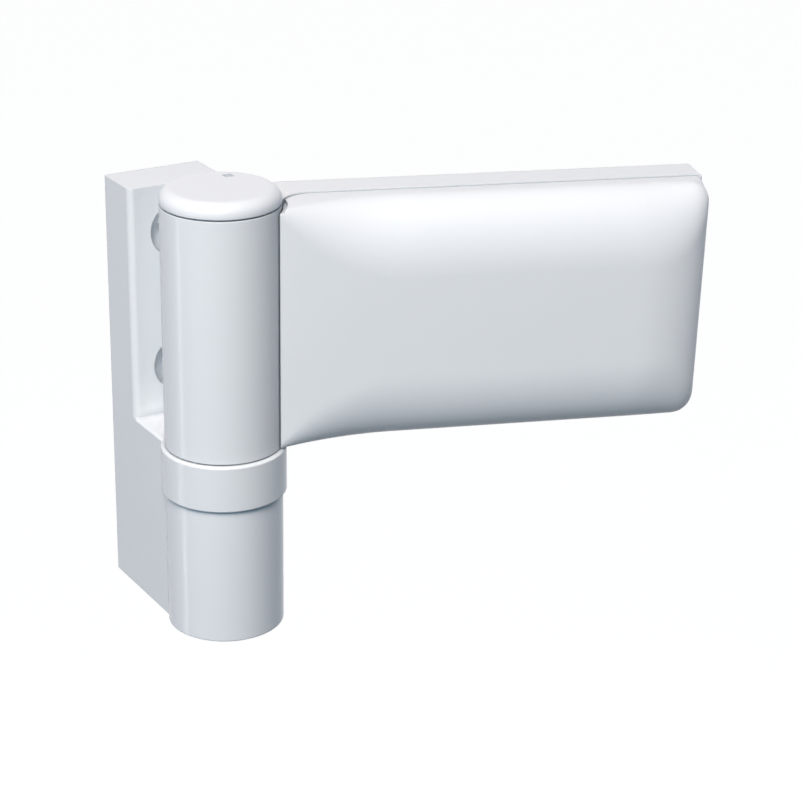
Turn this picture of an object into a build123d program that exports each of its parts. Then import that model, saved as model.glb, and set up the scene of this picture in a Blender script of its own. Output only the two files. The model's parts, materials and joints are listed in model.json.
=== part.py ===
from build123d import *
import math
import os

# Flag hinge for a door: frame bracket with the lower barrel, leaf with the upper barrel, and a cover.
# Millimetres, +Z up along the pin, +Y into the door frame. Origin: centre of the flat back of the bracket.

# Pose and main places
open_angle = 20.0  # how far the leaf stands open, in degrees
pin_to_frame = 28.3  # pin axis to the bracket's flat back
knuckle_gap = 0.2  # between the collar and the upper barrel

# Barrels
barrel_r = 11.0
lower_h = 36.4  # lower barrel with its collar
collar_h = 9.0
collar_r = 11.7
upper_h = 46.3
barrel_edge = 0.5  # chamfer on the barrels' open ends
collar_edge = 0.4

# Frame bracket
block_w = 19.2
block_d = 10.3
block_drop = 1.0  # the block's top lies this far below the upper barrel's rim
web_lift = 0.3  # the web ends this far above the lower barrel's end
block_edge = 1.2  # radius on the block's upright edges
web_fillet = 1.6  # inside radius where the web meets the barrel
frame_hole_r = 2.2
recess_r = 5.3
recess_depth = 3.6
frame_hole_gap = 26.6  # from one fixing hole to the other
frame_hole_drop = 9.2  # upper fixing hole below the block's top

# Leaf plate
leaf_len = 91.5  # pin axis to the free end, at the top
end_lean = 0.8  # the free end stands back this much at the bottom
plate_t = 6.6
sash_gap = 0.2  # the plate's back stands this far behind the barrel
root_fillet = 6.3  # inside radius between plate and barrel
plate_top_r = 0.8  # corner of the free end, at the top
plate_low_r = 4.5  # corner of the free end, at the bottom

# Cover
cover_rim = 4.6  # straight rim in front of the plate
cover_roll = 5.5  # how far the face rolls forward of the rim
top_reach = 7.6  # the same at the top, where the roll starts further back
roll_top = 13.5  # height of the rolled edge at the top
roll_low = 12.5
roll_end = 13.0
root_share = 0.05  # share of the full roll where the cover meets the barrel
root_len = 22.5  # length over which the rolls grow from there
root_edge = 0.3  # radius on the cover's edge beside the barrel
root_steps = 5
seam_step = 0.3  # the cover's top lies this far below the plate's
seam_top_r = 1.3  # upper corner of the free end, beside the plate
rim_top_r = 3.2  # the same where the roll starts
rim_low_r = 4.0
corner_swell = 0.3  # how much rounder the face's corners are than its rolls
end_step = 7  # between sections round the end's roll, in degrees
cover_wall = 2.0
face_wall = 2.5
cover_clear = 0.15
cap_well_r = 12.0  # round recess in the cover beside the cap
cap_well_depth = 0.9  # below the barrel's rim
peg_in = 15.4  # pegs that hold the cover, this far in from the sash holes
peg_rise = 15.0  # from the leaf's middle height
peg_r = 1.8
peg_shoulder_r = 3.2
peg_depth = 2.5  # into the plate
peg_clear = 0.15

# Top cap
cap_h = 3.1
cap_r = 11.0
cap_edge = 2.3
cap_seam = 0.3
cap_seam_depth = 0.5
cap_plug_r = 8.5
cap_plug_h = 3.0
cap_plug_wall = 1.6
cap_seat = 0.1  # clearance round the plug
cap_socket_gap = 0.5  # below the plug
notch_at = (4.4, 5.2)  # small lever pocket in the cap, from the pin axis
notch_size = 1.8
notch_depth = 0.5

# Pin and bushes
pin_r = 5.0
pin_fit = 0.05  # running clearance
pin_edge = 0.6
bush_r = 7.0
bush_seat = 0.03  # between a bush and its bore
flange_r = 9.0
flange_t = 1.5
flange_clear = 0.1
bush_floor = 2.0  # closed end of the upper bush
upper_bush_h = 18.0
leaf_bush_h = 18.0
pad_t = 2.0
pad_clear = 0.1
crown_t = 2.2  # metal between the upper bush and the cap's socket
crown_hole_r = 4.0

# Height screw
height_range = 4.0
height_screw_r = 6.0
height_screw_h = 8.0
height_clear = 0.1
height_screw_lift = 2.0  # the screw's lower end above the barrel's end
height_hex = 6.0  # across the flats of its socket
height_hex_depth = 5.0
bush_rise = 1.5  # room between the raised screw and the lower bush

# Slide plate
slide_range = 2.5  # each way
slide_t = 3.2
slide_proud = 0.3  # the slide plate's back stands proud of the leaf
slide_play = 0.1
slide_wall = 3.4  # metal round the slide plate's pocket
slide_root = barrel_r + 5.0  # pocket's near end from the pin axis
slide_corner = 2.0
sash_hole_r = 2.6
sash_hole_in = 6.0  # from the slide plate's ends
sash_hole_rise = 13.5  # from the leaf's middle height
head_r = 4.8  # room for a fixing screw's head

# Side screw, its threaded block and its bearing
side_r = 2.0
side_clear = 0.08
side_stand = 3.7  # the screw's axis in front of the plate
lug_cover = 3.4  # metal round the screw's axis, to the front
lug_tall = 9.0
nut_len = 10.0
nut_foot = 1.6  # depth of its foot in the slide plate
nut_play = 0.2
nut_edge = 0.6
bearing_len = 5.0
bearing_play = 0.1
side_head_r = 3.4
side_head_t = 3.5
side_hex = 2.5
side_hex_depth = 2.2
ring_r = 3.2
ring_t = 1.5
side_room = 1.0  # along the screw, between what moves and what stays

# Clamp screws
clamp_near = 9.5  # from the pocket's near end
clamp_far = 10.0  # from its far end
clamp_r = 2.5
clamp_clear = 0.2
clamp_head_r = 4.4
clamp_head_t = 1.9
clamp_edge = 0.5
clamp_washer_r = 5.2
clamp_washer_t = 0.8
clamp_hex = 2.6
clamp_hex_depth = 1.2
clamp_tip = 0.6  # the screw ends this far inside the slide plate's back

# Heights, from the lower barrel's end
upper_low = lower_h + knuckle_gap
upper_top = upper_low + upper_h
block_top = upper_top - block_drop
block_mid = (web_lift + block_top) / 2
leaf_mid = upper_low + upper_h / 2
screw_top = height_screw_lift + height_screw_h
thread_h = screw_top + height_range - bush_rise / 2
bush_low = screw_top + height_range + bush_rise
socket_floor = upper_top - cap_plug_h - cap_socket_gap
crown_low = socket_floor - crown_t
pad_low = crown_low - bush_floor - pad_t

# Depths, from the pin axis towards the frame or the sash
block_front = pin_to_frame - block_d
plate_back = barrel_r + sash_gap
plate_front = plate_back - plate_t
rim_front = plate_front - cover_rim
face_front = rim_front - cover_roll
slide_back = plate_back + slide_proud
slide_front = slide_back - slide_t
pocket_floor = slide_front - slide_play
side_axis = plate_front - side_stand
lug_front = side_axis - lug_cover

# Lengths along the leaf, from the pin axis
pocket_end = leaf_len - end_lean - slide_wall
slide_near = slide_root + slide_range + slide_play
slide_far = pocket_end - slide_range - slide_play
sash_holes = (slide_near + sash_hole_in, slide_far - sash_hole_in)
clamp_x = (slide_root + clamp_near, pocket_end - clamp_far)
peg_x = (sash_holes[0] + peg_in, sash_holes[1] - peg_in)
side_tip = clamp_x[0] + clamp_washer_r + slide_range + side_room
nut_x = side_tip + slide_range + side_room + nut_len / 2
bearing_x = nut_x + nut_len / 2 + slide_range + side_room + ring_t + bearing_play + bearing_len / 2


def disc(radius, low, high, x=0, y=0):
    """Upright cylinder between two heights."""
    return Pos(x, y, low) * extrude(Circle(radius), high - low)


def bar(x0, x1, y0, y1, z0, z1):
    """Box between two corners."""
    size = (x1 - x0, y1 - y0, z1 - z0)
    return Pos((x0 + x1) / 2, (y0 + y1) / 2, (z0 + z1) / 2) * Box(*size)


def through(x, z, radius, y0, y1, shift=0.0):
    """Round stud or slot along Y, its middle at x and z, longer by the shift each way."""
    plane = Plane(origin=(x, y1, z), x_dir=(1, 0, 0), z_dir=(0, -1, 0))
    outline = Circle(radius)
    if shift:
        outline = SlotCenterToCenter(2 * shift, 2 * radius)
    return extrude(plane * outline, y1 - y0)


def along_leaf(radius, x0, x1):
    """Cylinder along the leaf on the side screw's axis."""
    plane = Plane(origin=(x0, side_axis, leaf_mid), x_dir=(0, 1, 0), z_dir=(1, 0, 0))
    return extrude(plane * Circle(radius), x1 - x0)


def hexagon(across):
    """Hexagon by its width across the flats."""
    return RegularPolygon(across / 2, 6, major_radius=False)


def inside_corner(centre, foot, edge_point, radius):
    """Metal that rounds the corner between a barrel and a straight wall."""
    wedge = make_face(Polyline((0, 0), centre, foot, edge_point, close=True))
    return wedge - Pos(*centre) * Circle(radius)


def bracket_plan(radius):
    """Barrel and web of the frame bracket, seen from above."""
    half = block_w / 2
    reach = half + web_fillet
    y = math.sqrt((radius + web_fillet) ** 2 - reach**2)
    web = Pos(0, pin_to_frame / 2) * Rectangle(block_w, pin_to_frame)
    corner = inside_corner((reach, y), (half, y), (0, y), web_fillet)
    return Circle(radius) + web + corner + mirror(corner, Plane.YZ)


def frame_bracket():
    """One casting: block, web, collar and lower barrel."""
    barrel = disc(barrel_r, 0, lower_h)
    barrel = chamfer(barrel.edges().sort_by(Axis.Z)[0], barrel_edge)
    web_h = lower_h - collar_h - web_lift
    web = Pos(0, 0, web_lift) * extrude(bracket_plan(barrel_r), web_h)
    collar = Pos(0, 0, lower_h - collar_h) * extrude(bracket_plan(collar_r), collar_h)
    rim = collar.edges().filter_by(GeomType.CIRCLE).filter_by(lambda e: abs(e.radius - collar_r) < 1e-3)
    collar = chamfer(rim.sort_by(Axis.Z)[-1], collar_edge)
    block = bar(-block_w / 2, block_w / 2, block_front, pin_to_frame, web_lift, block_top)
    upright = block.edges().filter_by(Axis.Z).group_by(Axis.Y)[0]
    block = fillet(upright, block_edge)
    body = barrel + web + collar + block
    body += bar(-block_w / 2, block_w / 2, block_front, pin_to_frame, web_lift, lower_h)
    body -= disc(height_screw_r + height_clear, -1, thread_h)
    body -= disc(bush_r, thread_h, lower_h)
    body -= disc(flange_r + flange_clear, lower_h - flange_t, lower_h + 1)
    for z in frame_hole_heights():
        body -= through(0, z, frame_hole_r, block_front - 1, pin_to_frame + 1)
        body -= through(0, z, recess_r, block_front - 1, block_front + recess_depth)
    return body


def frame_hole_heights():
    """Heights of the two fixing holes in the block."""
    upper = block_top - frame_hole_drop
    return (upper, upper - frame_hole_gap)


def flanged_bush(low, high, flange_low):
    """Bearing bush with a flange, bored for the pin."""
    bush = disc(bush_r - bush_seat, low, high)
    bush += disc(flange_r, flange_low, flange_low + flange_t)
    return bush - disc(pin_r + pin_fit, low - 1, high + 1)


def lower_bush():
    """Bush in the lower barrel, flange on top."""
    return flanged_bush(bush_low, lower_h, lower_h - flange_t)


def leaf_bush_lower():
    """Bush at the bottom of the upper barrel, flange below."""
    return flanged_bush(upper_low, upper_low + leaf_bush_h, upper_low)


def leaf_bush_upper():
    """Closed bush at the top of the upper barrel."""
    low = crown_low - upper_bush_h
    bush = disc(bush_r - bush_seat, low, crown_low)
    return bush - disc(pin_r + pin_fit, low - 1, crown_low - bush_floor)


def thrust_pad():
    """Disc that carries the leaf on the pin's top."""
    return disc(pin_r - pad_clear, pad_low, pad_low + pad_t)


def hinge_pin():
    """Steel pin from the height screw to the thrust pad."""
    pin = disc(pin_r, screw_top, pad_low)
    return chamfer(pin.edges().filter_by(GeomType.CIRCLE), pin_edge)


def height_screw():
    """Socket screw below the pin."""
    screw = disc(height_screw_r, height_screw_lift, screw_top)
    screw = chamfer(screw.edges().filter_by(GeomType.CIRCLE), pin_edge)
    socket = Pos(0, 0, height_screw_lift) * extrude(hexagon(height_hex), height_hex_depth)
    return screw - socket


def top_cap():
    """Round cap with a soft edge, a seam below it and a plug in the barrel."""
    top = upper_top + cap_h
    bend = math.sqrt(0.5) * cap_edge
    neck = cap_r - cap_seam_depth
    flat_r = cap_r - cap_edge
    line = Polyline((0, top), (flat_r, top))
    line += ThreePointArc((flat_r, top), (flat_r + bend, top - cap_edge + bend), (cap_r, top - cap_edge))
    line += Polyline(
        (cap_r, top - cap_edge),
        (cap_r, upper_top + cap_seam),
        (neck, upper_top + cap_seam),
        (neck, upper_top),
        (cap_plug_r, upper_top),
        (cap_plug_r, upper_top - cap_plug_h),
        (cap_plug_r - cap_plug_wall, upper_top - cap_plug_h),
        (cap_plug_r - cap_plug_wall, upper_top),
        (0, upper_top),
        (0, top),
    )
    cap = revolve(Plane.XZ * make_face(line), Axis.Z)
    half = notch_size / 2
    x, y = notch_at
    return cap - bar(x - half, x + half, y - half, y + half, top - notch_depth, top + 1)


def leaf_plan(grow):
    """Upper barrel and plate from above, grown by a clearance."""
    radius = barrel_r + grow
    front = plate_front - grow
    bend = root_fillet - grow
    x = math.sqrt((radius + bend) ** 2 - (front - bend) ** 2)
    length = leaf_len + 1
    depth = plate_back + grow - front
    plate = Pos(length / 2, front + depth / 2) * Rectangle(length, depth)
    corner = inside_corner((x, front - bend), (x, front), (0, front), bend)
    return Circle(radius) + plate + corner


def leaf_outline():
    """Outline of the leaf seen from the front, as a thick slab."""
    points = (
        (-2 * barrel_r, upper_low),
        (leaf_len - end_lean, upper_low),
        (leaf_len, upper_top),
        (-2 * barrel_r, upper_top),
    )
    face = make_face(Polyline(*points, close=True))
    low_end, high_end = face.vertices().sort_by(Axis.X)[-2:].sort_by(Axis.Y)
    face = fillet(low_end, plate_low_r)
    high_end = face.vertices().sort_by(Axis.Y)[-2:].sort_by(Axis.X)[-1]
    face = fillet(high_end, plate_top_r)
    return extrude(Plane.XZ * face, 3 * barrel_r, both=True)


def leaf_body():
    """One casting: upper barrel, plate, pocket for the slide plate and screw bearing."""
    body = Pos(0, 0, upper_low) * extrude(leaf_plan(0), upper_h)
    body = body & leaf_outline()
    body += bar(bearing_x - bearing_len / 2, bearing_x + bearing_len / 2, lug_front, plate_front + 1,
                leaf_mid - lug_tall / 2, leaf_mid + lug_tall / 2)
    body -= along_leaf(side_r + side_clear, bearing_x - bearing_len, bearing_x + bearing_len)
    low = upper_low + slide_wall
    high = upper_top - slide_wall
    pocket = bar(slide_root, pocket_end, pocket_floor, plate_back + 1, low, high)
    body -= fillet(pocket.edges().filter_by(Axis.Y), slide_corner)
    body -= disc(flange_r + flange_clear, upper_low - 1, upper_low + flange_t)
    body -= disc(bush_r, upper_low, crown_low)
    body -= disc(crown_hole_r, crown_low - 1, socket_floor + 1)
    body -= disc(cap_plug_r + cap_seat, socket_floor, upper_top + 1)
    reach = nut_len / 2 + slide_range + nut_play
    body -= bar(nut_x - reach, nut_x + reach, plate_front - 1, pocket_floor + 1,
                leaf_mid - lug_tall / 2 - nut_play, leaf_mid + lug_tall / 2 + nut_play)
    for x in clamp_x:
        body -= through(x, leaf_mid, clamp_r + clamp_clear, plate_front - 1, pocket_floor + 1, slide_range)
    for x in sash_holes:
        for z in (leaf_mid - sash_hole_rise, leaf_mid + sash_hole_rise):
            body -= through(x, z, head_r, plate_front - 1, pocket_floor + 1, slide_range)
    for x in peg_x:
        for z in (leaf_mid - peg_rise, leaf_mid + peg_rise):
            body -= through(x, z, peg_r + peg_clear, plate_front - 1, plate_front + peg_depth + peg_clear)
    return body


def cover_section(x, lean, face, depth, rolls, rims, seam):
    """Section of the cover across the leaf: a flat face between two rolled edges, lower one first."""
    plane = Plane(origin=(x, 0, upper_low), x_dir=(0, 1, 0), z_dir=(1, 0, -lean))
    stretch = math.hypot(1, lean)
    low_roll, top_roll = (roll * stretch for roll in rolls)
    low = rims[0] * stretch
    high = (upper_h - seam_step - rims[1]) * stretch
    back = (upper_h - seam_step - seam) * stretch
    low_rim = face + depth
    top_rim = face + depth * top_reach / cover_roll
    line = Polyline((top_rim, high), (plate_front, back), (plate_front, low), (low_rim, low))
    line += EllipticalCenterArc((low_rim, low + low_roll), depth, low_roll, 180, arc_size=90)
    line += Line((face, low + low_roll), (face, high - top_roll))
    line += EllipticalCenterArc((top_rim, high - top_roll), top_rim - face, top_roll, 90, arc_size=90)
    return plane * make_face(line)


def root_section(step):
    """Section beside the barrel, from 0 where the cover meets it to 1 where the rolls are full."""
    near = math.sqrt(barrel_r**2 - face_front**2)
    share = 1 - (1 - root_share) * (1 - step) ** 2
    rolls = (roll_low * share, roll_top * share)
    return cover_section(near + root_len * step, 0, face_front, cover_roll * share, rolls, (0, 0), 0)


def rim_corner(radius, inset):
    """Height by which a round corner of the rim drops, at a distance from the free end."""
    if inset > radius:
        return 0
    return radius - math.sqrt(radius**2 - (radius - inset) ** 2)


def end_section(angle):
    """Section near the free end, at an angle round its roll: 90 where the roll begins, 0 on the rim."""
    turn = math.radians(angle)
    inset = roll_end * (1 - math.cos(turn))
    depth = cover_roll * math.sin(turn)
    share = math.sin(turn) * (1 + corner_swell * math.cos(turn))
    rims = (rim_corner(rim_low_r, inset), rim_corner(rim_top_r, inset))
    rolls = (roll_low * share, roll_top * share)
    lean = end_lean / upper_h * math.cos(turn)
    seam = rim_corner(seam_top_r, inset)
    return cover_section(leaf_len - end_lean - inset, lean, rim_front - depth, depth, rolls, rims, seam)


def cushion():
    """The cover's outside: rolls on three sides, round at the corners, that fade towards the barrel."""
    root = [root_section(step / root_steps) for step in range(root_steps + 1)]
    end = [end_section(angle) for angle in range(90, 0, -end_step)]
    form = loft(root) + loft(end)
    return form + extrude(root[-1], leaf_len - end_lean - roll_end - root_len - root[0].center().X)


def cover_bound():
    """Room the cover may fill, in front of the plate, with a rounded edge beside the barrel."""
    x = math.sqrt((barrel_r + cover_clear) ** 2 - (face_front + root_edge) ** 2)
    bend = root_edge * (1 - math.sqrt(0.5))
    far = leaf_len + root_edge
    line = ThreePointArc(
        (x, face_front + root_edge),
        (x + bend, face_front + bend),
        (x + root_edge, face_front),
    )
    line += Polyline(
        (x + root_edge, face_front),
        (x + root_edge, face_front - root_edge),
        (far, face_front - root_edge),
        (far, plate_front),
        (x, plate_front),
        (x, face_front + root_edge),
    )
    return Pos(0, 0, upper_low - 1) * extrude(make_face(line), upper_h + 2)


def hollow_slope(roll):
    """Inside corners behind a roll: distance from the rim's outside, and depth."""
    return (
        (cover_wall, plate_back),
        (cover_wall, rim_front + cover_wall),
        (0.36 * roll, rim_front - 0.18 * cover_roll),
        (0.76 * roll, face_front + face_wall),
    )


def cover_hollow():
    """Room behind the cover's face, sloping back behind the rolls."""
    near = barrel_r + cover_clear + cover_wall
    end = leaf_len - end_lean
    section = [(y, upper_low + inset) for inset, y in reversed(hollow_slope(roll_low))]
    section += [(y, upper_top - seam_step - inset) for inset, y in hollow_slope(roll_top)]
    plane = Plane(origin=(near, 0, 0), x_dir=(0, 1, 0), z_dir=(1, 0, 0))
    room = extrude(plane * make_face(Polyline(*section, close=True)), end - near)
    plan = [(near, plate_back), (near, face_front + face_wall)]
    plan += [(end - inset, y) for inset, y in reversed(hollow_slope(roll_end))]
    return room & Pos(0, 0, upper_low) * extrude(make_face(Polyline(*plan, close=True)), upper_h)


def leaf_cover():
    """Moulded cover: a hollow cushion with pegs that snap into the plate."""
    cover = cushion() & cover_bound()
    cover -= cover_hollow()
    for x in peg_x:
        for z in (leaf_mid - peg_rise, leaf_mid + peg_rise):
            cover += through(x, z, peg_shoulder_r, face_front + cover_wall, plate_front)
    cover -= Pos(0, 0, upper_low - 1) * extrude(leaf_plan(cover_clear), upper_h + 2)
    for x in peg_x:
        for z in (leaf_mid - peg_rise, leaf_mid + peg_rise):
            cover += through(x, z, peg_shoulder_r - 1, rim_front, plate_front)
            cover += through(x, z, peg_r, rim_front, plate_front + peg_depth)
    return cover - disc(cap_well_r, upper_top - cap_well_depth, upper_top + 1)


def slide_plate():
    """Steel plate screwed to the sash, in the leaf's pocket."""
    low = upper_low + slide_wall + slide_play
    high = upper_top - slide_wall - slide_play
    plate = bar(slide_near, slide_far, slide_front, slide_back, low, high)
    plate = fillet(plate.edges().filter_by(Axis.Y), slide_corner)
    for x in sash_holes:
        for z in (leaf_mid - sash_hole_rise, leaf_mid + sash_hole_rise):
            plate -= through(x, z, sash_hole_r, slide_front - 1, slide_back + 1)
    for x in clamp_x:
        plate -= through(x, leaf_mid, clamp_r + side_clear, slide_front - 1, slide_back + 1)
    half = nut_len / 2
    return plate - bar(nut_x - half, nut_x + half, slide_front - 1, slide_front + nut_foot,
                       leaf_mid - lug_tall / 2, leaf_mid + lug_tall / 2)


def adjuster_block():
    """Threaded block, its foot set in the slide plate."""
    half = nut_len / 2
    block = bar(nut_x - half, nut_x + half, lug_front, slide_front + nut_foot,
                leaf_mid - lug_tall / 2, leaf_mid + lug_tall / 2)
    block = chamfer(block.edges().filter_by(Axis.X).group_by(Axis.Y)[0], nut_edge)
    return block - along_leaf(side_r + side_clear, nut_x - nut_len, nut_x + nut_len)


def side_screw():
    """Screw that pushes the leaf along the slide plate."""
    seat = bearing_x + bearing_len / 2 + bearing_play
    screw = along_leaf(side_r, side_tip, seat) + along_leaf(side_head_r, seat, seat + side_head_t)
    plane = Plane(origin=(seat + side_head_t, side_axis, leaf_mid), x_dir=(0, 1, 0), z_dir=(1, 0, 0))
    return screw - extrude(plane * hexagon(side_hex), -side_hex_depth)


def side_screw_ring():
    """Ring pressed on the screw, on the other side of its bearing."""
    seat = bearing_x - bearing_len / 2 - bearing_play
    return along_leaf(ring_r, seat - ring_t, seat) - along_leaf(side_r, seat - 2 * ring_t, seat + ring_t)


def clamp_washer(x):
    """Washer between a clamp screw's head and the plate."""
    ring = through(x, leaf_mid, clamp_washer_r, plate_front - clamp_washer_t, plate_front)
    return ring - through(x, leaf_mid, clamp_r + side_clear, plate_front - 2, plate_front + 1)


def clamp_screw(x):
    """Screw that clamps the leaf on the slide plate."""
    seat = plate_front - clamp_washer_t
    screw = through(x, leaf_mid, clamp_r, seat - 1, slide_back - clamp_tip)
    head = through(x, leaf_mid, clamp_head_r, seat - clamp_head_t, seat)
    screw += chamfer(head.edges().group_by(Axis.Y)[0], clamp_edge)
    plane = Plane(origin=(x, seat - clamp_head_t, leaf_mid), x_dir=(1, 0, 0), z_dir=(0, 1, 0))
    return screw - extrude(plane * hexagon(clamp_hex), clamp_hex_depth)


def place(solid, in_leaf):
    """Move a piece from the pin axis to the bracket's frame, and turn it with the leaf if it is on it."""
    if in_leaf:
        solid = Rot(0, 0, -open_angle) * solid
    return Pos(0, -pin_to_frame, -block_mid) * solid


pieces = {
    "frame_bracket": (frame_bracket(), False),
    "lower_bush": (lower_bush(), False),
    "height_screw": (height_screw(), False),
    "hinge_pin": (hinge_pin(), False),
    "leaf_body": (leaf_body(), True),
    "leaf_bush_lower": (leaf_bush_lower(), True),
    "leaf_bush_upper": (leaf_bush_upper(), True),
    "thrust_pad": (thrust_pad(), True),
    "top_cap": (top_cap(), False),
    "leaf_cover": (leaf_cover(), True),
    "slide_plate": (slide_plate(), True),
    "adjuster_block": (adjuster_block(), True),
    "side_screw": (side_screw(), True),
    "side_screw_ring": (side_screw_ring(), True),
}
for number, x in enumerate(clamp_x, start=1):
    pieces[f"clamp_screw_{number}"] = (clamp_screw(x), True)
    pieces[f"clamp_washer_{number}"] = (clamp_washer(x), True)

os.makedirs("parts", exist_ok=True)
for name, (solid, in_leaf) in pieces.items():
    export_step(place(solid, in_leaf), f"parts/{name}.step")
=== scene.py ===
import json
import math

import bpy
from mathutils import Matrix, Vector


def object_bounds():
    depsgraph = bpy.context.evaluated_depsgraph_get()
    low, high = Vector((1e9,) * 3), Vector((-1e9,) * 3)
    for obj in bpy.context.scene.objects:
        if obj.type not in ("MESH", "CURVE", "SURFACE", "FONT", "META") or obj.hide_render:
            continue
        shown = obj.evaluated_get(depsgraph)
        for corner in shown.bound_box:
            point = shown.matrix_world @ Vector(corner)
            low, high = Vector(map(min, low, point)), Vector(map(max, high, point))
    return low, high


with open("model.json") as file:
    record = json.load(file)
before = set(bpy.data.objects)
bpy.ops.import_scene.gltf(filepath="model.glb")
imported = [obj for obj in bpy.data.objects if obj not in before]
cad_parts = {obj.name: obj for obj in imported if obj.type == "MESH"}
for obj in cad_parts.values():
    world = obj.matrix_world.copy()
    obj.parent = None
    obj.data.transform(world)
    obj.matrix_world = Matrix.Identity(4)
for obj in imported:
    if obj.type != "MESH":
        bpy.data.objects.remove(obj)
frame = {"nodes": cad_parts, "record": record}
cad_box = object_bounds()
nodes = frame["nodes"]

# Viewpoint of the photograph, in metres and degrees
camera_place = Vector((-0.17601, -0.37377, 0.16573))
camera_yaw = 31.84
camera_pitch = 22.68
camera_roll = 1.016
camera_lens = 101.93
camera_sensor = 36.0
camera_clip = 0.01

# Lamps: name, azimuth and elevation seen from the hinge, width and height in metres,
# power by colour, and whether the lamp shows in reflections
lamp_distance = 1.2
lamps = (
    ("key", -45.0, 48.5, (0.6, 0.6), (16.8, 15.25, 14.3), True),
    ("left_front", -45.0, 25.0, (0.6, 0.6), (0.3, 1.5, 2.0), True),
    ("left", -75.0, 10.0, (0.6, 0.6), (0.5, 0.6, 0.8), True),
    ("left_strip", -113.5, -21.0, (0.12, 0.5), (0.6, 0.6, 0.63), True),
    ("right_back", 105.0, 0.0, (0.6, 0.6), (2.3, 3.1, 3.8), False),
    ("back", 150.0, -6.0, (0.6, 0.6), (9.0, 9.2, 9.6), False),
)
sky_colour = (0.1, 0.4, 1.0)
sky_strength = 0.1

floor_depth = 0.7
floor_size = 12.0
floor_tone = 0.1
floor_glow = 0.98  # of the floor where it is seen, so that with the lamps' light it is white

# Shade in joints and inside corners
shade_reach = 0.003
shade_samples = 8
shade_full = 0.2  # share of open surroundings at and below which the shade is full
shade_none = 0.85  # the same at and above which there is none
shade_colour = (0.53, 0.555, 0.58)  # the surface's own colour is multiplied by it

# Noise: scales are in waves per metre, and most of its values lie between the two bounds
noise_low = 0.3
noise_high = 0.7
enamel_drift = 40.0
enamel_gloss = 300.0
metal_drift = 200.0
metal_gloss = 900.0

# Relief: strength, depth in metres and radius at which edges look round
enamel_relief = (0.06, 0.00004, 0.0003)
metal_relief = (0.15, 0.00003, 0.0002)
edge_samples = 6
enamel_ior = 1.48


def node_tree(name):
    """New material with an empty Principled shader."""
    material = bpy.data.materials.new(name)
    material.use_nodes = True
    tree = material.node_tree
    shader = tree.nodes["Principled BSDF"]
    return material, tree, shader


def noise(tree, scale, detail, low=0.0, high=1.0):
    """Noise over the object's own coordinates, mapped to a range of values."""
    place = tree.nodes.new("ShaderNodeTexCoord")
    cloud = tree.nodes.new("ShaderNodeTexNoise")
    cloud.inputs["Scale"].default_value = scale
    cloud.inputs["Detail"].default_value = detail
    spread = tree.nodes.new("ShaderNodeMapRange")
    spread.inputs["From Min"].default_value = noise_low
    spread.inputs["From Max"].default_value = noise_high
    spread.inputs["To Min"].default_value = low
    spread.inputs["To Max"].default_value = high
    tree.links.new(place.outputs["Object"], cloud.inputs["Vector"])
    tree.links.new(cloud.outputs["Fac"], spread.inputs["Value"])
    return spread.outputs["Result"]


def tint(tree, pale, deep, amount):
    """Colour that drifts between two tones."""
    mix = tree.nodes.new("ShaderNodeMix")
    mix.data_type = "RGBA"
    mix.inputs["A"].default_value = (*pale, 1.0)
    mix.inputs["B"].default_value = (*deep, 1.0)
    tree.links.new(amount, mix.inputs["Factor"])
    return mix.outputs["Result"]


def bump(tree, shader, height, strength, distance, edge):
    """Fine relief on the surface, and edges that look round."""
    relief = tree.nodes.new("ShaderNodeBump")
    rounding = tree.nodes.new("ShaderNodeBevel")
    rounding.samples = edge_samples
    rounding.inputs["Radius"].default_value = edge
    tree.links.new(rounding.outputs["Normal"], relief.inputs["Normal"])
    relief.inputs["Strength"].default_value = strength
    relief.inputs["Distance"].default_value = distance
    tree.links.new(height, relief.inputs["Height"])
    tree.links.new(relief.outputs["Normal"], shader.inputs["Normal"])


def corner_shade(tree, colour):
    """Deepens a colour in joints and inside corners, where little light falls in."""
    openness = tree.nodes.new("ShaderNodeAmbientOcclusion")
    openness.samples = shade_samples
    openness.inputs["Distance"].default_value = shade_reach
    share = tree.nodes.new("ShaderNodeMapRange")
    share.inputs["From Min"].default_value = shade_full
    share.inputs["From Max"].default_value = shade_none
    share.inputs["To Min"].default_value = 1.0
    share.inputs["To Max"].default_value = 0.0
    mix = tree.nodes.new("ShaderNodeMix")
    mix.data_type = "RGBA"
    mix.blend_type = "MULTIPLY"
    mix.inputs["B"].default_value = (*shade_colour, 1.0)
    tree.links.new(openness.outputs["AO"], share.inputs["Value"])
    tree.links.new(share.outputs["Result"], mix.inputs["Factor"])
    tree.links.new(colour, mix.inputs["A"])
    return mix.outputs["Result"]


def enamel(name, pale, deep, low_rough, high_rough, grain):
    """Enamel or moulded plastic: a slow drift of tone, uneven gloss and a very fine orange peel."""
    material, tree, shader = node_tree(name)
    colour = tint(tree, pale, deep, noise(tree, enamel_drift, detail=3.0))
    tree.links.new(corner_shade(tree, colour), shader.inputs["Base Color"])
    gloss = noise(tree, enamel_gloss, detail=4.0, low=low_rough, high=high_rough)
    tree.links.new(gloss, shader.inputs["Roughness"])
    bump(tree, shader, noise(tree, grain, detail=2.0), *enamel_relief)
    shader.inputs["IOR"].default_value = enamel_ior
    return material


def metal(name, pale, deep, low_rough, high_rough, grain):
    """Bare metal with a fine grain."""
    material, tree, shader = node_tree(name)
    tree.links.new(tint(tree, pale, deep, noise(tree, metal_drift, detail=4.0)), shader.inputs["Base Color"])
    gloss = noise(tree, metal_gloss, detail=4.0, low=low_rough, high=high_rough)
    tree.links.new(gloss, shader.inputs["Roughness"])
    bump(tree, shader, noise(tree, grain, detail=3.0), *metal_relief)
    shader.inputs["Metallic"].default_value = 1.0
    return material


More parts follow.
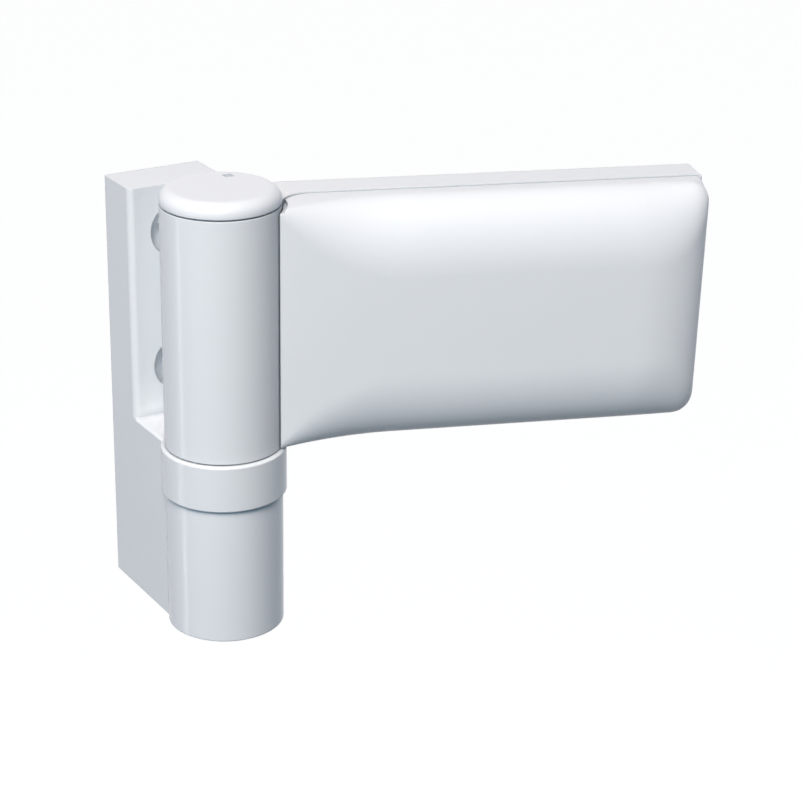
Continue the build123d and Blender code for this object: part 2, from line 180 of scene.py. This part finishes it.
casting_tones = ((0.86, 0.875, 0.885), (0.84, 0.857, 0.87))
moulding_tones = ((0.87, 0.883, 0.893), (0.855, 0.87, 0.882))
bush_tones = ((0.05, 0.05, 0.053), (0.035, 0.035, 0.038))
materials = {
    "painted_casting": enamel("painted_casting", *casting_tones, 0.19, 0.24, 1800.0),
    "white_moulding": enamel("white_moulding", *moulding_tones, 0.29, 0.34, 2600.0),
    "pin_steel": metal("pin_steel", (0.62, 0.63, 0.65), (0.5, 0.51, 0.53), 0.22, 0.32, 2500.0),
    "zinc_plated": metal("zinc_plated", (0.56, 0.58, 0.61), (0.5, 0.52, 0.55), 0.36, 0.44, 2000.0),
    "bush_plastic": enamel("bush_plastic", *bush_tones, 0.45, 0.55, 2600.0),
    "brass": metal("brass", (0.78, 0.6, 0.3), (0.65, 0.48, 0.22), 0.28, 0.4, 2000.0),
}

for part in frame["record"]["subparts"]:
    surface = nodes[part["node"]].data
    surface.materials.clear()
    surface.materials.append(materials[part["material_slot"]])


def seen_rays(tree):
    """1 where the surface is seen by the camera, straight or in a reflection or through glass."""
    path = tree.nodes.new("ShaderNodeLightPath")
    mirrored = tree.nodes.new("ShaderNodeMath")
    mirrored.operation = "MAXIMUM"
    tree.links.new(path.outputs["Is Glossy Ray"], mirrored.inputs[0])
    tree.links.new(path.outputs["Is Transmission Ray"], mirrored.inputs[1])
    seen = tree.nodes.new("ShaderNodeMath")
    seen.operation = "MAXIMUM"
    tree.links.new(path.outputs["Is Camera Ray"], seen.inputs[0])
    tree.links.new(mirrored.outputs["Value"], seen.inputs[1])
    return seen.outputs["Value"]


def pale_ground():
    """Pale floor far below the hinge, seen nearly white, with the hinge's shadow on it."""
    bpy.ops.mesh.primitive_plane_add(size=floor_size, location=(0.0, 0.0, cad_box[0][2] - floor_depth))
    ground = bpy.context.object
    ground.name = "ground"
    material = bpy.data.materials.new("ground")
    material.use_nodes = True
    tree = material.node_tree
    tree.nodes.clear()
    output = tree.nodes.new("ShaderNodeOutputMaterial")
    matt = tree.nodes.new("ShaderNodeBsdfDiffuse")
    matt.inputs["Color"].default_value = (floor_tone, floor_tone, floor_tone, 1.0)
    glow = tree.nodes.new("ShaderNodeEmission")
    both = tree.nodes.new("ShaderNodeAddShader")
    level = tree.nodes.new("ShaderNodeMath")
    level.operation = "MULTIPLY"
    level.inputs[1].default_value = floor_glow
    tree.links.new(seen_rays(tree), level.inputs[0])
    tree.links.new(level.outputs["Value"], glow.inputs["Strength"])
    tree.links.new(matt.outputs["BSDF"], both.inputs[0])
    tree.links.new(glow.outputs["Emission"], both.inputs[1])
    tree.links.new(both.outputs["Shader"], output.inputs["Surface"])
    ground.data.materials.append(material)


def white_sky():
    """White where the sky is seen, a weak cool light for the rest."""
    world = bpy.data.worlds.new("sky")
    bpy.context.scene.world = world
    world.use_nodes = True
    tree = world.node_tree
    back = tree.nodes["Background"]
    back.inputs["Color"].default_value = (*sky_colour, 1.0)
    back.inputs["Strength"].default_value = sky_strength
    white = tree.nodes.new("ShaderNodeBackground")
    white.inputs["Color"].default_value = (1.0, 1.0, 1.0, 1.0)
    mix = tree.nodes.new("ShaderNodeMixShader")
    tree.links.new(seen_rays(tree), mix.inputs["Fac"])
    tree.links.new(back.outputs["Background"], mix.inputs[1])
    tree.links.new(white.outputs["Background"], mix.inputs[2])
    tree.links.new(mix.outputs["Shader"], tree.nodes["World Output"].inputs["Surface"])


def add_lamp(name, azimuth, elevation, size, power, mirrored):
    """Area lamp that looks at the hinge's middle. Azimuth 0 is in front, at -Y, and -90 at -X."""
    light = bpy.data.lights.new(name, "AREA")
    light.shape = "RECTANGLE"
    light.size, light.size_y = size
    strongest = max(power)
    light.energy = strongest
    light.color = [value / strongest for value in power]
    lamp = bpy.data.objects.new(name, light)
    bpy.context.scene.collection.objects.link(lamp)
    lamp.visible_glossy = mirrored
    turn = math.radians(azimuth)
    rise = math.radians(elevation)
    flat = math.cos(rise)
    away = Vector((math.sin(turn) * flat, -math.cos(turn) * flat, math.sin(rise)))
    centre = (Vector(cad_box[0]) + Vector(cad_box[1])) / 2
    lamp.location = centre + away * lamp_distance
    lamp.rotation_euler = away.to_track_quat("Z", "Y").to_euler()


def add_camera():
    """Camera at the photograph's viewpoint."""
    yaw = math.radians(camera_yaw)
    pitch = math.radians(camera_pitch)
    roll = math.radians(camera_roll)
    ahead = Vector((math.sin(yaw) * math.cos(pitch), math.cos(yaw) * math.cos(pitch), -math.sin(pitch)))
    level = Vector((math.cos(yaw), -math.sin(yaw), 0.0))
    above = level.cross(ahead)
    across = level * math.cos(roll) + above * math.sin(roll)
    upward = above * math.cos(roll) - level * math.sin(roll)
    turn = Matrix((across, upward, -ahead)).transposed()
    view = bpy.data.cameras.new("camera")
    view.lens = camera_lens
    view.sensor_width = camera_sensor
    view.clip_start = camera_clip
    camera = bpy.data.objects.new("camera", view)
    camera.matrix_world = Matrix.Translation(camera_place) @ turn.to_4x4()
    bpy.context.scene.collection.objects.link(camera)
    bpy.context.scene.camera = camera


pale_ground()
white_sky()
for lamp in lamps:
    add_lamp(*lamp)
add_camera()
bpy.context.scene.view_settings.view_transform = "Standard"
